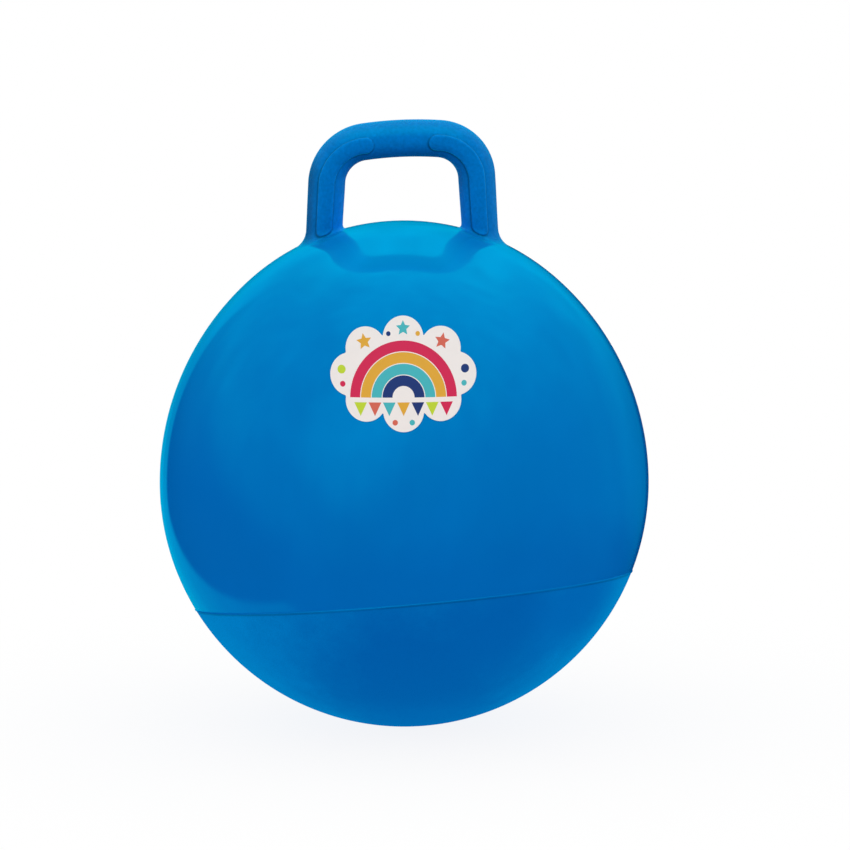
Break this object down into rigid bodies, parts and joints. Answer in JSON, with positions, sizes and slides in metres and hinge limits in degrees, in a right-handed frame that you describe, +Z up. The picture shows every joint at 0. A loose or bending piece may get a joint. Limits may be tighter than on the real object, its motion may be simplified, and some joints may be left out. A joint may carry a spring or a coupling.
{
  "type": "hopper ball",
  "caption": "Inflated bouncing ball with a hollow loop handle moulded on its crown, raised grip ribs, a sloping mould seam and an air valve with a pull-out plug at the back.",
  "frame": {"origin": "on the floor, in the middle of the flat patch under the ball", "axes": "+Z up through the crown, -Y towards the front with the sticker, +X to the right in the front view, along the handle's bar"},
  "size_m": [0.4499, 0.45, 0.5575],
  "materials": {
    "skin_gloss": "gloss",
    "skin_matt": "matte",
    "handle_satin": "satin",
    "plug_white": "satin",
    "sticker_film": "satin"
  },
  "bodies": {
    "ball": {"upper_shell": "skin_gloss", "lower_shell": "skin_matt", "handle": "handle_satin", "valve_sleeve": "skin_gloss", "front_sticker": "sticker_film"},
    "plug": {"valve_plug": "plug_white"}
  },
  "joints": [
    {"name": "plug_pull", "type": "slide", "parent": "ball", "child": "plug", "axis": [0, 0.5878, 0.809], "range_m": [0, 0.024]}
  ]
}
